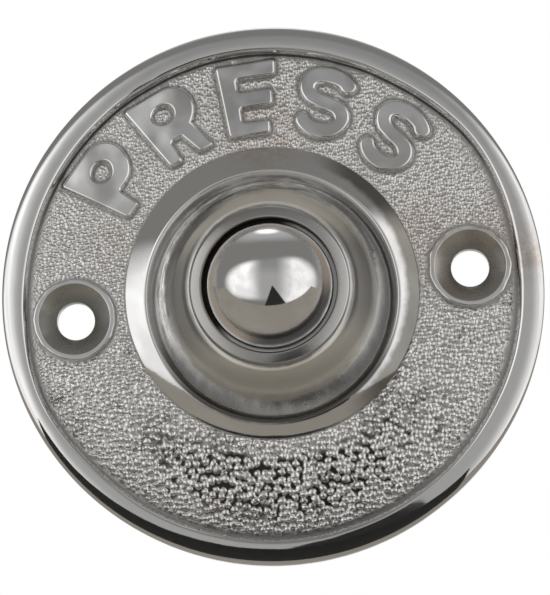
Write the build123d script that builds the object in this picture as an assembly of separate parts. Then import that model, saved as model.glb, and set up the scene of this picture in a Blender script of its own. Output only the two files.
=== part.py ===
from build123d import *
import math
import os

# A round cast bell push. Lengths are millimetres. Each piece is drawn face up, with heights measured
# from the wall towards the caller, and is then stood upright with its face to -Y and its back on Y = 0.

# Cover plate: rim and field
plate_diameter = 64.0
plate_edge = 2.4
rim_width = 2.8
rim_crest_setback = 2.0
rim_rise = 1.2
field_height = 3.1
field_fall = 1.1
field_crown = 0.15
casting_wall = 1.5
bearing_width = 2.2
cast_radius = 0.3

# Cover plate: boss, groove and collar, set out from the button hole
button_hole_diameter = 15.7
lip_width = 1.4
lip_thickness = 1.8
lip_fall = 0.42
lip_round = 0.3
lip_step = 0.5
lip_draft = 0.1
lip_foot_round = 0.12
hole_edge_round = 0.25
boss_rise = 6.7
boss_flank = 2.9
boss_shoulder = 0.55
boss_shoulder_drop = 0.2
boss_shoulder_round = 0.35
boss_foot_round = 2.2
groove_width = 2.6
groove_floor = 1.75
groove_depth = 0.1
groove_round = 0.35
collar_width = 2.65
collar_edge_round = 0.45
collar_rise = 1.6

# Cover plate: countersunk screw bosses
screw_spacing = 47.0
screw_hole_diameter = 4.5
countersink_diameter = 8.5
countersink_angle = 90.0
screw_boss_wall = 0.62
screw_boss_rise = 0.4
screw_boss_round = 0.28

# Push button
button_clearance = 0.45
button_travel = 1.8
shoulder_drop = 0.5
shoulder_round = 0.3
dome_diameter = 12.6
dome_rise = 3.7
skirt_height = 4.1
skirt_groove = 0.22
flange_overlap = 0.9
flange_thickness = 1.1
flange_clearance = 0.3
tail_diameter = 5.2
tail_length = 1.4

# Insulating cap on the tail
cap_thickness = 0.75
cap_wall = 0.6
cap_depth = 0.9
cap_clearance = 0.05
rivet_relief = 0.3

# Contact strips and their rivets
strip_thickness = 0.3
strip_width = 4.0
strip_margin = 0.4
strip_corner = 0.9
contact_diameter = 2.4
contact_height = 0.5
contact_shank_diameter = 1.2
contact_upset_diameter = 1.8
contact_upset_height = 0.25
rivet_clearance = 0.05

# Contact base
base_clearance = 0.15
base_wall = 1.0
base_ledge = 0.9
base_floor = 2.2
base_round = 0.6
ear_round = 0.45
pocket_round = 0.3
ear_spacing = 31.2
ear_width = 6.6
ear_recess = 0.1
ear_room = 0.8
ear_land = 1.2
ledge_gap = 0.4
stop_post_diameter = 2.2
stop_post_spacing = 12.8
stop_gap = 0.1

# Terminals
terminal_spacing = 9.0
bush_diameter = 3.4
bush_head_diameter = 5.2
bush_head_height = 0.6
bush_flare_diameter = 4.0
bush_flare_height = 0.4
washer_diameter = 5.0
washer_thickness = 0.5
terminal_thread_diameter = 2.5
terminal_head_diameter = 4.5
terminal_head_height = 1.5
terminal_length = 4.2
terminal_pocket_margin = 0.6
terminal_sink = 0.3
slot_width = 0.6
slot_depth = 0.7
terminal_head_chamfer = 0.25
thread_clearance = 0.05

# Base screws
base_screw_diameter = 2.0
base_screw_head_diameter = 3.8
base_screw_length = 3.0
base_screw_tip_gap = 0.2
base_screw_slot_width = 0.5
base_screw_slot_depth = 0.4

# Radii that follow from the sizes above
plate_radius = plate_diameter / 2
rim_foot_radius = plate_radius - rim_width
rim_crest_radius = plate_radius - rim_crest_setback
hole_radius = button_hole_diameter / 2
lip_radius = hole_radius + lip_width
boss_radius = lip_radius + boss_flank
collar_edge_radius = boss_radius + groove_width
collar_radius = collar_edge_radius + collar_width
flange_radius = hole_radius + flange_overlap
upper_cavity_radius = flange_radius + flange_clearance
lower_cavity_radius = upper_cavity_radius + base_ledge
chamber_radius = lower_cavity_radius - base_clearance - base_wall
shoulder_radius = hole_radius - button_clearance
dome_radius = dome_diameter / 2
tail_radius = tail_diameter / 2

# Heights above the wall, from the lip down through the moving parts to the base's rear face
rim_foot_height = field_height - field_fall
rim_height = rim_foot_height + rim_rise
collar_height = field_height + collar_rise
groove_height = field_height - groove_depth
pocket_height = field_height - casting_wall
pocket_edge_height = rim_foot_height - casting_wall
lip_height = field_height + boss_rise
ceiling_height = lip_height - lip_thickness
flange_underside = ceiling_height - flange_thickness
tail_end = flange_underside - tail_length
leaf_top = tail_end - cap_thickness
leaf_underside = leaf_top - strip_thickness
spring_contact_face = leaf_underside - contact_height
fixed_contact_face = spring_contact_face - button_travel
fixed_strip_top = fixed_contact_face - contact_height
floor_height = fixed_strip_top - strip_thickness
ledge_height = leaf_top + ledge_gap
bush_seat = floor_height - base_floor
washer_seat = bush_seat - bush_head_height
screw_seat = washer_seat - washer_thickness
rear_height = screw_seat - terminal_head_height - terminal_sink

upright = Rot(X=90)


def rounded(section, *corners):
    """Rounds the section's corner nearest each (radius from axis, height), by the size given third."""
    for across, height, size in corners:
        section = fillet(section.vertices().sort_by_distance((across, height))[:1], size)
    return section


def turned(section):
    """Turns a half section of (radius, height) about the button's axis."""
    return revolve(Plane.XZ * section, Axis.Z)


def disc(diameter, low, high, x=0.0, y=0.0):
    """A round bar from one height to another."""
    return Pos(x, y, low) * extrude(Circle(diameter / 2), high - low)


def cone(low_diameter, high_diameter, low, high, x=0.0, y=0.0):
    """A tapered bar from one height to another."""
    upwards = (Align.CENTER, Align.CENTER, Align.MIN)
    return Pos(x, y, low) * Cone(low_diameter / 2, high_diameter / 2, high - low, align=upwards)


def quarter_round(centre, across, rise, start):
    """A quarter of an ellipse in a half section, from the start angle towards the axis."""
    return EllipticalCenterArc(centre, across, rise, start, arc_size=90)


def plate_section():
    """Half section of the casting: bearing edge, rim, field, collar, groove, boss, lip and cavity."""
    field_middle = ((rim_foot_radius + collar_radius) / 2, (rim_foot_height + field_height) / 2 + field_crown)
    front = [
        Line((plate_radius, 0), (plate_radius, plate_edge)),
        quarter_round((rim_crest_radius, plate_edge), rim_crest_setback, rim_height - plate_edge, 0),
        quarter_round((rim_crest_radius, rim_foot_height), rim_width - rim_crest_setback, rim_rise, 90),
        ThreePointArc((rim_foot_radius, rim_foot_height), field_middle, (collar_radius, field_height)),
    ]
    lip_foot_radius = lip_radius + lip_draft
    lip_edge_height = lip_height - lip_fall
    lip_foot_height = lip_edge_height - lip_step
    boss_top_radius = lip_foot_radius + boss_shoulder
    boss_top_height = lip_foot_height - boss_shoulder_drop
    groove_outer_radius = boss_radius + groove_floor
    bearing_radius = plate_radius - bearing_width
    seat_radius = (ear_spacing + ear_width) / 2 + ear_room
    inner = Polyline(
        (collar_radius, field_height),
        (collar_edge_radius, collar_height),
        (groove_outer_radius, groove_height),
        (boss_radius, groove_height),
        (boss_top_radius, boss_top_height),
        (lip_foot_radius, lip_foot_height),
        (lip_radius, lip_edge_height),
        (hole_radius, lip_height),
        (hole_radius, ceiling_height),
        (upper_cavity_radius, ceiling_height),
        (upper_cavity_radius, ledge_height),
        (lower_cavity_radius, ledge_height),
        (lower_cavity_radius, pocket_height),
        (seat_radius, pocket_height),
        (bearing_radius, pocket_edge_height),
        (bearing_radius, 0),
        (plate_radius, 0),
    )
    return rounded(
        make_face([*front, *inner.edges()]),
        (collar_edge_radius, collar_height, collar_edge_round),
        (groove_outer_radius, groove_height, groove_round),
        (boss_radius, groove_height, boss_foot_round),
        (boss_top_radius, boss_top_height, boss_shoulder_round),
        (lip_foot_radius, lip_foot_height, lip_foot_round),
        (lip_radius, lip_edge_height, lip_round),
        (hole_radius, lip_height, hole_edge_round),
        (bearing_radius, pocket_edge_height, cast_radius),
    )


def cover_plate():
    """The casting, with a raised countersunk boss at each side and tapped holes for the base screws."""
    plate = turned(plate_section())
    screw_boss_radius = countersink_diameter / 2 + screw_boss_wall
    screw_boss_height = field_height + screw_boss_rise
    boss_section = rounded(
        Pos(screw_boss_radius / 2, screw_boss_height / 2) * Rectangle(screw_boss_radius, screw_boss_height),
        (screw_boss_radius, screw_boss_height, screw_boss_round),
    )
    sink = (countersink_diameter - screw_hole_diameter) / 2 / math.tan(math.radians(countersink_angle / 2))
    for side in (-1, 1):
        x = side * screw_spacing / 2
        plate += Pos(x, 0) * turned(boss_section)
        plate -= disc(screw_hole_diameter, 0, screw_boss_height, x)
        throat_height = screw_boss_height - sink
        plate -= cone(screw_hole_diameter, countersink_diameter, throat_height, screw_boss_height, x)
    for side in (-1, 1):
        tapped_end = ear_recess + base_screw_length + base_screw_tip_gap
        tapped_diameter = base_screw_diameter + 2 * thread_clearance
        plate -= disc(tapped_diameter, pocket_height, tapped_end, y=side * ear_spacing / 2)
    return plate


def push_button():
    """The turned button: tail, retaining flange, guided shoulder, grooved skirt foot and dome."""
    shoulder_height = lip_height - shoulder_drop
    skirt_top = shoulder_height + skirt_height
    dome_sphere = (dome_radius**2 + dome_rise**2) / (2 * dome_rise)
    groove_radius = dome_radius - skirt_groove
    outline = Polyline(
        (dome_radius, skirt_top),
        (dome_radius, shoulder_height + skirt_groove),
        (groove_radius, shoulder_height),
        (shoulder_radius, shoulder_height),
        (shoulder_radius, ceiling_height),
        (flange_radius, ceiling_height),
        (flange_radius, flange_underside),
        (tail_radius, flange_underside),
        (tail_radius, tail_end),
        (0, tail_end),
        (0, skirt_top + dome_rise),
    )
    dome = RadiusArc((0, skirt_top + dome_rise), (dome_radius, skirt_top), dome_sphere)
    section = make_face([dome, *outline.edges()])
    return turned(rounded(section, (shoulder_radius, shoulder_height, shoulder_round)))


def insulating_cap():
    """The cap that keeps the leaf off the button's tail, hollowed for the contact rivet's upset head."""
    bore_radius = tail_radius + cap_clearance
    outer_diameter = 2 * (bore_radius + cap_wall)
    cap = disc(outer_diameter, leaf_top, tail_end + cap_depth)
    cap -= disc(2 * bore_radius, tail_end, tail_end + cap_depth)
    relief_diameter = contact_upset_diameter + 2 * rivet_relief
    return cap - disc(relief_diameter, leaf_top, leaf_top + contact_upset_height + rivet_clearance)


def strip_outline(low_x, high_x, low, high):
    """A flat blank with rounded corners between two places along X."""
    blank = Pos((low_x + high_x) / 2, 0, low) * RectangleRounded(high_x - low_x, strip_width, strip_corner)
    return extrude(blank, high - low)


def spring_strip():
    """The hairpin leaf: lower leg under its bush, half turn at the wall, upper leg under the cap."""
    outer_bend = (leaf_top - floor_height) / 2
    reach = math.sqrt(chamber_radius**2 - (strip_width / 2) ** 2) - strip_margin
    bend_x = outer_bend - reach
    lower_end = -terminal_spacing / 2 + bush_flare_diameter / 2 + strip_margin
    upper_end = contact_diameter / 2 + 2 * strip_margin
    ring = Circle(outer_bend) - Circle(outer_bend - strip_thickness)
    wall_half = Pos(-outer_bend) * Rectangle(2 * outer_bend, 2 * outer_bend)
    half_turn = Pos(bend_x, (leaf_top + floor_height) / 2) * (ring & wall_half)
    strip = extrude(Plane.XZ * half_turn, strip_width / 2, both=True)
    for end_x, low in ((lower_end, floor_height), (upper_end, leaf_underside)):
        leg = strip_outline(bend_x - strip_corner, end_x, low, low + strip_thickness)
        keep = Pos(bend_x, 0, low) * Box(
            end_x - bend_x, strip_width, strip_thickness, align=(Align.MIN, Align.CENTER, Align.MIN)
        )
        strip += leg & keep
    strip -= disc(contact_shank_diameter + 2 * rivet_clearance, leaf_underside, leaf_top)
    bush_hole = bush_diameter + 2 * rivet_clearance
    return strip - disc(bush_hole, floor_height, fixed_strip_top, -terminal_spacing / 2)


def fixed_strip():
    """The flat strip from the right bush to the button's axis."""
    low_x = -contact_diameter / 2 - strip_margin
    high_x = terminal_spacing / 2 + bush_flare_diameter / 2 + strip_margin
    strip = strip_outline(low_x, high_x, floor_height, fixed_strip_top)
    strip -= disc(contact_shank_diameter + 2 * rivet_clearance, floor_height, fixed_strip_top)
    bush_hole = bush_diameter + 2 * rivet_clearance
    return strip - disc(bush_hole, floor_height, fixed_strip_top, terminal_spacing / 2)


def contact_rivet(face, head_seat, upset_seat):
    """A contact rivet: head from its face to the strip, shank through the strip, upset head beyond it."""
    side = 1 if upset_seat > head_seat else -1
    upset_end = upset_seat + side * contact_upset_height
    rivet = disc(contact_diameter, min(face, head_seat), max(face, head_seat))
    rivet += disc(contact_shank_diameter, min(face, upset_end), max(face, upset_end))
    return rivet + disc(contact_upset_diameter, min(upset_seat, upset_end), max(upset_seat, upset_end))


def contact_base():
    """The moulding: cup in the boss, eared flange in the plate's hollow, rear body with wire pockets."""
    cup_diameter = 2 * (lower_cavity_radius - base_clearance)
    rear_diameter = 2 * chamber_radius
    land_diameter = 2 * (lower_cavity_radius + ear_land)
    outline = Circle(land_diameter / 2) + Rot(Z=90) * SlotOverall(ear_spacing + ear_width, ear_width)
    flange = Pos(0, 0, ear_recess) * extrude(outline, pocket_height - ear_recess)
    base = fillet(flange.edges().group_by(Axis.Z)[0], ear_round)
    base += disc(cup_diameter, ear_recess, ledge_height)
    rear = disc(rear_diameter, rear_height, pocket_height)
    base += fillet(rear.edges().filter_by(GeomType.CIRCLE).sort_by(Axis.Z)[:1], base_round)
    base -= disc(2 * chamber_radius, floor_height, ledge_height)
    relief_diameter = contact_upset_diameter + 2 * rivet_relief
    base -= disc(relief_diameter, floor_height - contact_upset_height - rivet_relief, floor_height)
    pocket_radius = bush_head_diameter / 2 + terminal_pocket_margin
    for side, facing in ((-1, 180), (1, 0)):
        post_top = flange_underside - button_travel - stop_gap
        base += disc(stop_post_diameter, floor_height, post_top, y=side * stop_post_spacing / 2)
        x = side * terminal_spacing / 2
        base -= disc(bush_diameter + 2 * rivet_clearance, bush_seat, floor_height, x)
        mouth = Pos(chamber_radius / 2) * Rectangle(chamber_radius, 2 * pocket_radius)
        pocket = extrude(Circle(pocket_radius) + mouth, bush_seat - rear_height)
        pocket = fillet(pocket.edges().group_by(Axis.Z)[-1], pocket_round)
        base -= Pos(x, 0, rear_height) * Rot(Z=facing) * pocket
        ear_y = side * ear_spacing / 2
        sink = (base_screw_head_diameter - base_screw_diameter) / 2
        base -= disc(base_screw_diameter + 2 * thread_clearance, ear_recess, pocket_height, y=ear_y)
        base -= cone(
            base_screw_head_diameter + 2 * thread_clearance,
            base_screw_diameter + 2 * thread_clearance,
            ear_recess,
            ear_recess + sink,
            y=ear_y,
        )
    return base


def terminal_bush(x):
    """A tubular rivet: rear head, shank through floor and strip, flare over the strip, tapped bore."""
    flare_top = fixed_strip_top + bush_flare_height
    bush = disc(bush_head_diameter, washer_seat, bush_seat, x)
    bush += disc(bush_diameter, bush_seat, fixed_strip_top, x)
    bush += disc(bush_flare_diameter, fixed_strip_top, flare_top, x)
    return bush - disc(terminal_thread_diameter, washer_seat, flare_top, x)


def terminal_washer(x):
    """A plain washer between the wire and the screw's head."""
    ring = disc(washer_diameter, screw_seat, washer_seat, x)
    return ring - disc(terminal_thread_diameter, screw_seat, washer_seat, x)


def slot(width, depth, low, reach, x=0.0, y=0.0):
    """A driver slot cut up from a head's outer face."""
    return Pos(x, y, low) * Box(reach, width, depth, align=(Align.CENTER, Align.CENTER, Align.MIN))


def terminal_screw(x):
    """A slotted cheese-head screw driven from behind."""
    head_end = screw_seat - terminal_head_height
    head = disc(terminal_head_diameter, head_end, screw_seat, x)
    screw = chamfer(head.edges().group_by(Axis.Z)[0], terminal_head_chamfer)
    shank_diameter = terminal_thread_diameter - 2 * thread_clearance
    screw += disc(shank_diameter, screw_seat, screw_seat + terminal_length, x)
    return screw - slot(slot_width, slot_depth, head_end, terminal_head_diameter, x)


def base_screw(y):
    """A slotted countersunk screw driven from behind through the ear into the plate."""
    sink = (base_screw_head_diameter - base_screw_diameter) / 2
    screw = cone(base_screw_head_diameter, base_screw_diameter, ear_recess, ear_recess + sink, y=y)
    screw += disc(base_screw_diameter, ear_recess + sink, ear_recess + base_screw_length, y=y)
    reach = base_screw_head_diameter
    return screw - slot(base_screw_slot_width, base_screw_slot_depth, ear_recess, reach, y=y)


nodes = {
    "cover_plate": cover_plate(),
    "push_button": push_button(),
    "insulating_cap": insulating_cap(),
    "spring_strip": spring_strip(),
    "spring_contact": contact_rivet(spring_contact_face, leaf_underside, leaf_top),
    "fixed_strip": fixed_strip(),
    "fixed_contact": contact_rivet(fixed_contact_face, fixed_strip_top, floor_height),
    "contact_base": contact_base(),
}
for name, side in (("left", -1), ("right", 1)):
    terminal_x = side * terminal_spacing / 2
    nodes[f"terminal_bush_{name}"] = terminal_bush(terminal_x)
    nodes[f"terminal_washer_{name}"] = terminal_washer(terminal_x)
    nodes[f"terminal_screw_{name}"] = terminal_screw(terminal_x)
for name, side in (("lower", -1), ("upper", 1)):
    nodes[f"base_screw_{name}"] = base_screw(side * ear_spacing / 2)

os.makedirs("parts", exist_ok=True)
for name, shape in nodes.items():
    export_step(upright * shape, f"parts/{name}.step")
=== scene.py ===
import math
import random

import bmesh
import bpy
from mathutils import Matrix, Quaternion, Vector, kdtree, noise
from mathutils.bvhtree import BVHTree


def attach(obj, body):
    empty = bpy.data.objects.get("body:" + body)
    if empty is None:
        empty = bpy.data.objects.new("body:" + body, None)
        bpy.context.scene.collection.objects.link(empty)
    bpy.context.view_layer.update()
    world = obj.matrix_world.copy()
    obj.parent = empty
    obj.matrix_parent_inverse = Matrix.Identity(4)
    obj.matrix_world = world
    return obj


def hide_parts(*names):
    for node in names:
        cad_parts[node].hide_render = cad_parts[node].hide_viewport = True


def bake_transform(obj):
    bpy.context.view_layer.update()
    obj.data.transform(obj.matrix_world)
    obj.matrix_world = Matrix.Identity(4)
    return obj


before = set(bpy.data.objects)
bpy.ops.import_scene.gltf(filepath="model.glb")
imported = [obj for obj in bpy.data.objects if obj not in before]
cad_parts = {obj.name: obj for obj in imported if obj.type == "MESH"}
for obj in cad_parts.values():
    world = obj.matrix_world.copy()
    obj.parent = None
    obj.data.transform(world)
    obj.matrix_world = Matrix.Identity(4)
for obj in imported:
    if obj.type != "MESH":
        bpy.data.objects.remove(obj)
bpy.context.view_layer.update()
scene = bpy.context.scene

# Pieces are drawn face up in millimetres, with heights measured from the wall, as on a bench.
# This stands them on the wall plane in metres, with the face to -Y.
upright = Matrix.Scale(0.001, 4) @ Matrix.Rotation(math.radians(90), 4, "X")

# Plate
plate_radius = 32.0
plate_edge = 2.4
plate_steps = 416
rim_crest_radius = 29.7
rim_foot_radius = 28.8
rim_height = 3.2
rim_foot_height = 2.0
rim_foot_sink = 0.3
field_crown = 0.15
ground_sink = 0.25
bearing_radius = 29.8
bearing_band = 0.8
pocket_edge_height = 0.5
pocket_height = 1.6
seat_radius = 19.7

# Collar, groove, boss and lip
collar_foot_radius = 17.4
collar_foot_height = 3.1
collar_foot_step = 0.1
collar_edge_radius = 14.75
collar_height = 4.7
collar_drop = 0.6
groove_outer_radius = 13.9
groove_height = 3.0
boss_radius = 12.15
boss_top_radius = 9.9
boss_top_height = 8.68
lip_foot_radius = 9.35
lip_foot_height = 8.88
lip_radius = 9.25
lip_edge_height = 9.38
lip_height = 9.8
hole_radius = 7.85
ceiling_height = 8.0
upper_cavity_radius = 9.05
lower_cavity_radius = 9.95
ledge_height = 5.15

# Screw bosses
screw_place = 23.5
screw_hole_radius = 2.25
countersink_radius = 4.25
screw_boss_radius = 4.87
screw_boss_height = 3.5
screw_boss_steps = 144
throat_height = 1.5
casting_under_boss = 0.75
field_under_boss = 0.5

# Button
shoulder_radius = 7.4
shoulder_height = 9.3
dome_radius = 6.3
dome_rise = 3.7
dome_steps = 40
skirt_top = 13.4
skirt_undercut = 0.22
flange_radius = 8.75
flange_underside = 6.9
tail_radius = 2.6
tail_end = 5.5
button_steps = 240

# Hairpin leaf
leaf_floor = 1.35
leaf_top = 4.75
leaf_thickness = 0.3
leaf_width = 4.0
leaf_bend_place = -6.47
leaf_bend_steps = 20
leaf_lower_end = -2.1
leaf_upper_end = 2.0
leaf_corner = 0.9

collar_slope = (collar_height - collar_foot_height) / (collar_foot_radius - collar_edge_radius)
field_middle = (rim_foot_radius + collar_foot_radius) / 2
field_half_width = (rim_foot_radius - collar_foot_radius) / 2


def field_level(radius):
    """Height of the field, which falls from the collar to the rim in a low bow."""
    out = (radius - field_middle) / field_half_width
    straight = (rim_foot_height * (1 + out) + collar_foot_height * (1 - out)) / 2
    return straight + field_crown * (1 - out * out)


def pocket_level(radius):
    """Height of the hollow back, which falls from the seat to the bearing edge."""
    out = (radius - seat_radius) / (bearing_radius - seat_radius)
    return pocket_height + (pocket_edge_height - pocket_height) * out


def ease(low, high, value):
    """0 below low, 1 above high, a smooth step between."""
    t = min(1.0, max(0.0, (value - low) / (high - low)))
    return t * t * (3 - 2 * t)


def ripple(x, y, fineness, layer):
    """A smooth unevenness of the face between -1 and 1, different in each layer."""
    return noise.noise(Vector((x * fineness, y * fineness, layer)))


# Shader nodes

def add(tree, kind, feeds=None, **settings):
    """A shader node, with values or links on its sockets."""
    made = tree.nodes.new(kind)
    for key, value in settings.items():
        setattr(made, key, value)
    for key, value in (feeds or {}).items():
        if isinstance(value, bpy.types.NodeSocket):
            tree.links.new(value, made.inputs[key])
        else:
            made.inputs[key].default_value = value
    return made


def tree_of(values):
    """The node tree of the sockets among some values."""
    return next(value.id_data for value in values if isinstance(value, bpy.types.NodeSocket))


def maths(operation, first, *others):
    """One operation on a value, or on several taken one after another."""
    tree = tree_of((first, *others))
    for other in others or (0.0,):
        first = add(tree, "ShaderNodeMath", {0: first, 1: other}, operation=operation).outputs[0]
    return first


def product(*values):
    return maths("MULTIPLY", *values)


def total(*values):
    return maths("ADD", *values)


def difference(first, second):
    return maths("SUBTRACT", first, second)


def most(*values):
    return maths("MAXIMUM", *values)


def vectors(operation, feeds, gives="Vector"):
    return add(tree_of(feeds.values()), "ShaderNodeVectorMath", feeds, operation=operation).outputs[gives]


def ramp(value, low, high, start=0.0, end=1.0):
    """A value eased from start to end as it goes from low to high."""
    feeds = {"Value": value, "From Min": low, "From Max": high, "To Min": start, "To Max": end}
    return add(value.id_data, "ShaderNodeMapRange", feeds, interpolation_type="SMOOTHSTEP").outputs["Result"]


def band(value, limits, strength=1.0, outer=None):
    """Full strength between the middle two of four limits, eased to nothing at the outer two."""
    begin, full, fade, gone = limits
    return product(ramp(value, begin, full), ramp(outer or value, fade, gone, strength, 0.0))


def blend(share, first, second):
    """A colour between two, by a share."""
    return add(share.id_data, "ShaderNodeMix", {0: share, 6: first, 7: second}, data_type="RGBA").outputs[2]


def coats(colour, *layers):
    """A colour with others laid over it one after another, each by its share."""
    for share, coat in layers:
        colour = blend(share, colour, coat)
    return colour


def place(tree):
    return add(tree, "ShaderNodeTexCoord").outputs["Object"]


def split_place(tree):
    """The place on the piece, taken apart: X across, Y towards the wall and Z up."""
    return add(tree, "ShaderNodeSeparateXYZ", {"Vector": place(tree)}).outputs


def speckle(tree, scale, detail=2.0, rough=0.5, at=None):
    feeds = {"Vector": at or place(tree), "Scale": scale, "Detail": detail, "Roughness": rough}
    return add(tree, "ShaderNodeTexNoise", feeds).outputs["Fac"]


def painted(tree, name):
    """A value that a mesh carries on its points."""
    return add(tree, "ShaderNodeAttribute", attribute_name=name).outputs["Fac"]


def effect(name, takes, gives):
    """A node group with named number inputs and outputs."""
    tree = bpy.data.node_groups.new(name, "ShaderNodeTree")
    for label, value in takes.items():
        socket = tree.interface.new_socket(label, in_out="INPUT", socket_type="NodeSocketFloat")
        socket.default_value = value
    for label in gives:
        tree.interface.new_socket(label, in_out="OUTPUT", socket_type="NodeSocketFloat")
    return tree, tree.nodes.new("NodeGroupInput").outputs, tree.nodes.new("NodeGroupOutput").inputs


def use(tree, group, **feeds):
    return add(tree, "ShaderNodeGroup", feeds, node_tree=group).outputs


def new_finish(name, metallic=1.0):
    """A material and its node tree."""
    made = bpy.data.materials.new(name)
    made.use_nodes = True
    made.node_tree.nodes["Principled BSDF"].inputs["Metallic"].default_value = metallic
    return made, made.node_tree


def dressed(made, colour, rough, height=None, strength=0.0, distance=0.0):
    """A finish given its colour, its roughness and the height that bumps it."""
    tree = made.node_tree
    shader = tree.nodes["Principled BSDF"]
    tree.links.new(colour, shader.inputs["Base Color"])
    tree.links.new(rough, shader.inputs["Roughness"])
    if height:
        feeds = {"Height": height, "Strength": strength, "Distance": distance}
        tree.links.new(add(tree, "ShaderNodeBump", feeds).outputs[0], shader.inputs["Normal"])
    return made


# Effects that several finishes share

def tarnish_effect():
    """Broken warm patches where the plating is thin."""
    tree, takes, gives = effect("plating wear", {"Scale": 160.0, "Cover": 0.5}, ("Patches",))
    broad = speckle(tree, takes["Scale"], detail=4.0, rough=0.6)
    fine = speckle(tree, product(takes["Scale"], 9.0), detail=3.0, rough=0.7)
    both = total(product(broad, 0.75), product(fine, 0.25))
    edge = difference(0.78, product(takes["Cover"], 0.4))
    above = maths("DIVIDE", difference(both, edge), 0.12)
    tree.links.new(add(tree, "ShaderNodeClamp", {"Value": above}).outputs[0], gives["Patches"])
    return tree


def polish_effect():
    """Wheel-polished metal: a soft waviness, faint smears and hair scratches."""
    tree, takes, gives = effect("hand polish", {"Smear": 0.05}, ("Roughness", "Height"))
    wave = speckle(tree, 130.0, rough=0.45)
    smear = speckle(tree, 420.0, detail=5.0, rough=0.65)
    stretched = add(tree, "ShaderNodeMapping", {"Vector": place(tree), "Scale": (900.0, 900.0, 9000.0)})
    hairs = speckle(tree, 1.0, at=stretched.outputs[0])
    tree.links.new(product(total(smear, product(hairs, 0.4)), takes["Smear"]), gives["Roughness"])
    tree.links.new(total(wave, product(hairs, 0.012)), gives["Height"])
    return tree


def cast_effect():
    """Sand-cast skin: fine grit with small pits."""
    tree, takes, gives = effect("cast skin", {"Scale": 2600.0}, ("Height",))
    grit = speckle(tree, takes["Scale"], detail=4.0, rough=0.7)
    feeds = {"Vector": place(tree), "Scale": product(takes["Scale"], 0.55)}
    cells = add(tree, "ShaderNodeTexVoronoi", feeds).outputs["Distance"]
    pits = ramp(cells, 0.08, 0.3, 1.0, 0.0)
    tree.links.new(difference(grit, product(pits, 0.5)), gives["Height"])
    return tree


plating_wear = tarnish_effect()
hand_polish = polish_effect()
cast_skin = cast_effect()

# Colours of the plating, and of the light and shade painted on it
chrome_bright = (0.64, 0.635, 0.63, 1)
chrome_dull = (0.42, 0.41, 0.395, 1)
# Painted shade, laid on the lip and along the smooth margins of the beaded field
painted_shade_grey = (0.3, 0.29, 0.275, 1)
plating_warm = (0.46, 0.36, 0.29, 1)
groove_grey = (0.37, 0.36, 0.345, 1)
shadow_grey = (0.2, 0.195, 0.19, 1)
# Painted shade for the sides of the satin flank, and painted light for its top and bottom
satin_painted_shade = (0.42, 0.405, 0.38, 1)
satin_painted_light = (0.95, 0.91, 0.82, 1)
# Painted highlight on the left of the groove's outer wall
wall_painted_highlight = (0.95, 0.945, 0.94, 1)
# Painted shadow: a dark line low on the groove's outer wall
wall_shadow_black = (0.06, 0.058, 0.055, 1)
collar_right_dark = (0.16, 0.152, 0.135, 1)
countersink_grey = (0.44, 0.43, 0.41, 1)
# Painted shade in the gap round the button, speckled at random
bore_shade_black = (0.02, 0.018, 0.016, 1)
bore_shade_brown = (0.06, 0.05, 0.042, 1)
back_grey = (0.42, 0.41, 0.39, 1)
back_brown = (0.44, 0.34, 0.2, 1)
bead_shaded_foot = (0.54, 0.53, 0.515, 1)
bead_top = (0.72, 0.71, 0.7, 1)
gap_shade_black = (0.04, 0.04, 0.04, 1)
rim_shadow_black = (0.03, 0.029, 0.028, 1)
letter_bright = (0.68, 0.675, 0.67, 1)
button_bright = (0.66, 0.655, 0.65, 1)
skirt_brown = (0.48, 0.39, 0.31, 1)
skirt_shade_black = (0.035, 0.025, 0.02, 1)
shoulder_shadow_black = (0.03, 0.028, 0.026, 1)

# Rings on the face, in metres from the axis: where each begins, is full, starts to fade and is gone.
flank_ring = (0.0094, 0.0098, 0.0117, 0.0127)
shoulder_ring = (0.0094, 0.0097, 0.0101, 0.0105)
groove_ring = (0.0106, 0.0124, 0.0137, 0.0142)
bed_ring = (0.0113, 0.0118, 0.0123, 0.013)
wall_ring = (0.0135, 0.0139, 0.0145, 0.0149)
shadow_line_ring = (0.0139, 0.0143, 0.0149, 0.0153)
collar_dark_ring = (0.0154, 0.0163, 0.0174, 0.018)

# Edges on the face, in metres from the axis: where each begins and ends.
lip_edge = (0.0093, 0.0098)
outer_groove_edge = (0.0124, 0.013)
field_edge = (0.0279, 0.0284)
skirt_foot_edge = (0.0069, 0.0073)
button_shade_edge = (0.0071, 0.0074)

# Sides of the face, in metres across or up: where each begins and is full.
left_side = (-0.003, -0.008)
far_left = (-0.006, -0.011)
right_side = (0.004, 0.011)
far_right = (0.006, 0.01)
collar_right_side = (0.006, 0.0115)
either_side = (0.003, 0.007)
right_to_left = (0.004, -0.005)
upper_side = (0.003, 0.0065)
near_top = (0.008, 0.018)
lower_side = (0.001, -0.007)
well_below = (-0.003, -0.007)
not_well_below = (-0.007, -0.003)
near_bottom = (-0.005, -0.0115)
lower_half = (0.002, -0.006)
top_or_bottom = (0.003, 0.0085)

# Heights on the button, in metres along Y: where each begins and is full.
skirt_foot = (-0.013, -0.0117)
dome_limb = (-0.0149, -0.0136)

# Places where the plating has gone warm: across, up, reach and strength.
warm_places = (
    (0.0185, 0.0055, 0.006, 0.45),
    (0.0262, 0.0035, 0.0065, 0.45),
    (0.0305, 0.0005, 0.0045, 0.6),
    (0.0015, 0.0188, 0.0075, 0.5),
    (0.0185, 0.0015, 0.004, 0.4),
    (-0.0175, 0.0085, 0.005, 0.25),
)
warm_height = -0.003


# Finishes

def from_axis(tree, ragged, drop=0.0):
    """Distance from the plate's axis, or from a line that far below it, made ragged by an amount."""
    split = split_place(tree)
    flat = add(tree, "ShaderNodeCombineXYZ", {"X": split["X"], "Y": total(split["Z"], drop)}).outputs[0]
    wander = product(difference(speckle(tree, 700.0, detail=3.0), 0.5), ragged)
    return total(vectors("LENGTH", {0: flat}, "Value"), wander)


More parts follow.
